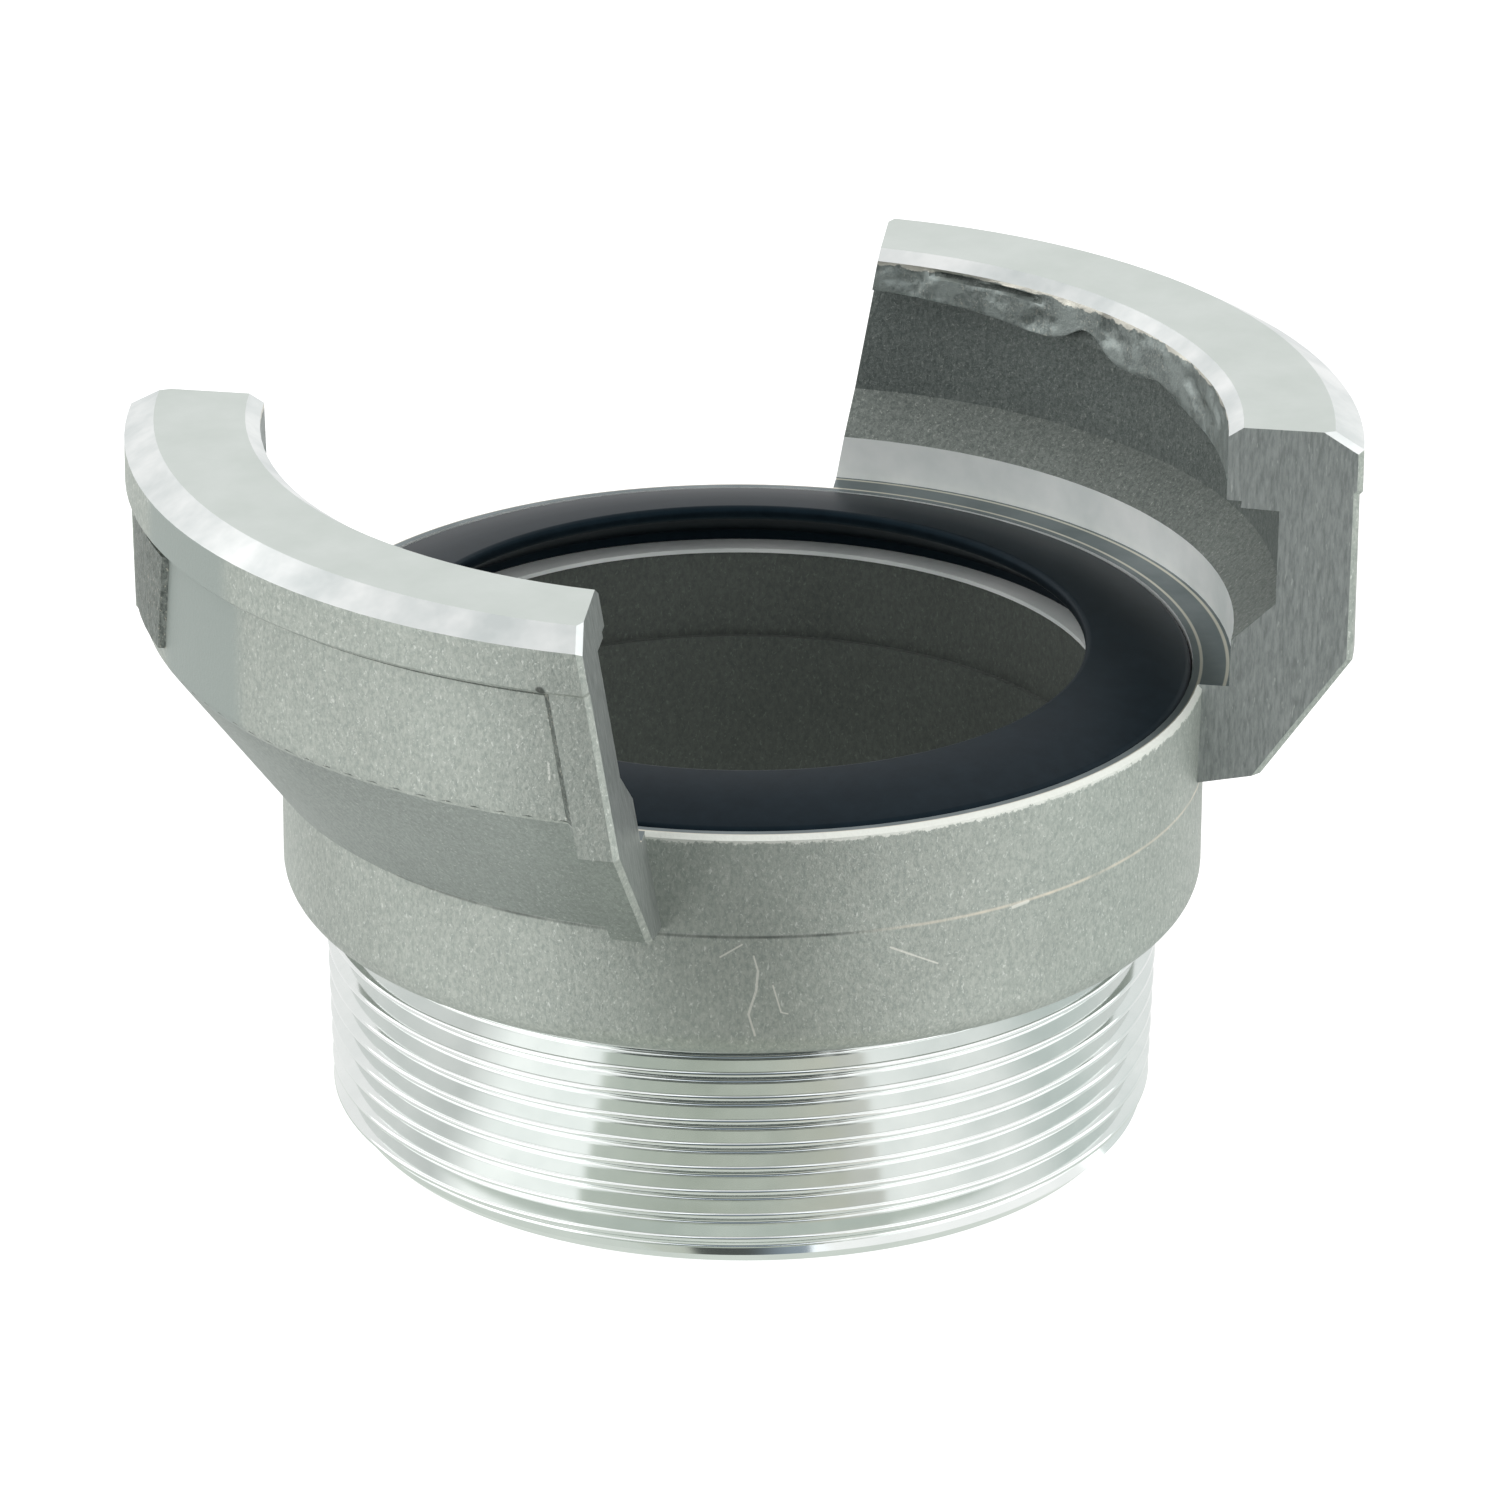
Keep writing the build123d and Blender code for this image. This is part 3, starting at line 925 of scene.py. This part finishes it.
# %% What polished metal sees round about
# Each place is a turn in degrees from the camera's side, counted round the thread, where
# the picture of that thing appears on the teeth. A plain number is a plain brightness.
SIDE_WALL = (0.85, 0.90, 0.89)
RIGHT_PART = (0.88, 0.86, 0.82)
LEFT_PANEL = [(-127, 1.0), (-55, 1.0), (-44, 0.93), (-36, 1.5), (-20.8, 1.5)]
RIGHT_PANEL = [
    (15.3, RIGHT_PART), (17.9, RIGHT_PART), (18.9, 1.3), (40, 1.2), (50, SIDE_WALL),
    (62, SIDE_WALL), (80, 1.0), (127, 1.0)]
GREY_CARD = [
    (-19.9, (0.80, 0.84, 0.78)), (-13, (0.70, 0.74, 0.67)), (-5, (0.60, 0.637, 0.564)),
    (3, (0.69, 0.72, 0.65)), (12.6, (0.815, 0.80, 0.714))]
BLUE_WALL = [(-19.9, (0.27, 0.34, 0.40)), (12.6, (0.33, 0.39, 0.45))]
DARK_EDGE = (0.09, 0.10, 0.095, 1)
CEILING = (0.92, 0.92, 0.92, 1)
BEHIND_LAMPS = (0.11, 0.11, 0.11, 1)
# Grey that polished metal sees on the paper round the foot: a painted shadow of the coupling.
FOOT_SHADOW_GREY = (0.74, 0.79, 0.74, 1)
TURN_RANGE = 254
# One degree round the thread mirrors this many degrees of the floor, and of the room.
FLOOR_TURNS = 1.42
ROOM_TURNS = 2.1


def surroundings(tree, place, turns, front, dark):
    """The surroundings by the turn round the coupling, with a lit gap in their dark part.

    The dark part is given by where it starts and where it is full.
    """
    radius, turn, height = around(tree, place)
    at = node(tree, "Math", {0: turn, 1: 1 / turns}, operation="MULTIPLY")
    seen = [*LEFT_PANEL, *front, *RIGHT_PANEL]
    stops = [(spot / TURN_RANGE + 0.5, tone) for spot, tone in seen]
    share = node(tree, "Math", {0: at, 1: 1 / TURN_RANGE, 2: 0.5}, operation="MULTIPLY_ADD")
    colour = node(tree, "ValToRGB", {"Fac": share}, stops=stops)
    low = (height if turns == ROOM_TURNS else radius, *dark)
    edge = mask(tree, low, (at, -20.6, -19.9), (at, 18.6, 17.9))
    gap = mask(tree, low, (at, 13.2, 13.5), (at, 14.8, 14.5))
    return layered(tree, colour, (edge, DARK_EDGE), (gap, CEILING)), radius, height


# %% Floor
FLOOR_SIZE = 3.0
WHITE_GLOW = 0.85
PAPER = 0.42


def floor_shader(tree):
    """White to the camera, lit paper to soft light, and the surroundings to polished metal."""
    path = node(tree, "LightPath")
    camera_ray, through = path.outputs["Is Camera Ray"], path.outputs["Is Transmission Ray"]
    eye = node(tree, "Math", {0: camera_ray, 1: through}, operation="MAXIMUM")
    paper = node(tree, "BsdfDiffuse", {"Color": (PAPER, PAPER, PAPER, 1)})
    glow = node(tree, "Emission", {
        "Color": (WHITE_GLOW, WHITE_GLOW, WHITE_GLOW, 1), "Strength": eye})
    lit = node(tree, "AddShader", {0: paper, 1: glow})
    place = node(tree, "TexCoord").outputs["Object"]
    beyond_card = (70 * MM, 82 * MM)
    colour, radius, _ = surroundings(tree, place, FLOOR_TURNS, GREY_CARD, beyond_card)
    # Round the foot the paper shows its painted shadow to polished metal.
    painted_foot_shadow = mask(tree, (radius, 44 * MM, 42.5 * MM))
    mirrored = node(tree, "Emission", {"Color": layered(tree, colour, (painted_foot_shadow, FOOT_SHADOW_GREY))})
    return node(tree, "MixShader", {0: path.outputs["Is Glossy Ray"], 1: lit, 2: mirrored})


def make_floor():
    """A large flat sheet of paper under the coupling, which isn't a piece of it."""
    bm = bmesh.new()
    bmesh.ops.create_grid(bm, x_segments=1, y_segments=1, size=FLOOR_SIZE)
    mesh = bpy.data.meshes.new("floor")
    bm.to_mesh(mesh)
    bm.free()
    made = bpy.data.objects.new("floor", mesh)
    bpy.context.scene.collection.objects.link(made)
    material = bpy.data.materials.new("white_paper_floor")
    material.use_nodes = True
    material.node_tree.nodes.clear()
    finish_material(material.node_tree, floor_shader(material.node_tree))
    mesh.materials.append(material)
    return made


floor = make_floor()
print("floor", [round(v, 2) for v in floor.dimensions], "m")

# %% Lamps
LAMP_TURN = 70
LAMP_ELEVATION = 28
LAMP_DISTANCE = 1.3
LAMP_SIZE = (3.0, 1.7)
LAMP_POWER = 16.5


def make_lamp(name, azimuth):
    """A wide soft lamp that looks at the middle of the coupling."""
    target = Vector((0, 0, 35 * MM))
    a, e = radians(azimuth), radians(LAMP_ELEVATION)
    away = Vector((cos(a) * cos(e), sin(a) * cos(e), sin(e)))
    data = bpy.data.lights.new(name, "AREA")
    data.shape = "RECTANGLE"
    data.size, data.size_y = LAMP_SIZE
    data.energy = LAMP_POWER
    made = bpy.data.objects.new(name, data)
    made.location = target + away * LAMP_DISTANCE
    made.rotation_euler = away.to_track_quat("Z", "Y").to_euler()
    bpy.context.scene.collection.objects.link(made)
    return made


lamps = [
    make_lamp("lamp_left", CAMERA_SIDE - LAMP_TURN),
    make_lamp("lamp_right", CAMERA_SIDE + LAMP_TURN),
]
print("lamps", [lamp.name for lamp in lamps])

# %% Room
# Soft light from all round, weaker from the camera's side, where the room is darker
SOFT_LIGHT = [(0.45, 0.66), (0.75, 0.2)]


def make_room():
    """The same surroundings as the floor shows, under a pale ceiling."""
    world = bpy.data.worlds.new("studio")
    bpy.context.scene.world = world
    world.use_nodes = True
    tree = world.node_tree
    tree.nodes.clear()
    path = node(tree, "LightPath")
    way = node(tree, "TexCoord").outputs["Generated"]
    colour, _, up = surroundings(tree, way, ROOM_TURNS, BLUE_WALL, (0.24, 0.12))
    aside = node(tree, "Math", {0: around(tree, way)[1]}, operation="ABSOLUTE")
    ceiling = mask(tree, (up, 0.5, 0.75))
    # A lamp adds its light to what is behind it, so the wall behind the lamps is dark.
    behind = mask(tree, (up, 0.12, 0.3), (up, 0.88, 0.75), (aside, 19, 26), (aside, 122, 114))
    mirrored = layered(tree, colour, (ceiling, CEILING), (behind, BEHIND_LAMPS))
    a = radians(CAMERA_SIDE)
    front = node(tree, "VectorMath", {0: way, 1: (cos(a), sin(a), 0)}, operation="DOT_PRODUCT")
    soft = node(tree, "ValToRGB", {"Fac": front}, stops=SOFT_LIGHT)
    glossy = node(tree, "MixShader", {
        0: path.outputs["Is Glossy Ray"], 1: node(tree, "Background", {"Color": soft}),
        2: node(tree, "Background", {"Color": mirrored})})
    white = node(tree, "Background", {"Color": (1, 1, 1, 1)})
    seen = node(tree, "MixShader", {0: path.outputs["Is Camera Ray"], 1: glossy, 2: white})
    node(tree, "OutputWorld", {"Surface": seen})
    return world


room = make_room()
print("room", room.name, "nodes", len(room.node_tree.nodes))
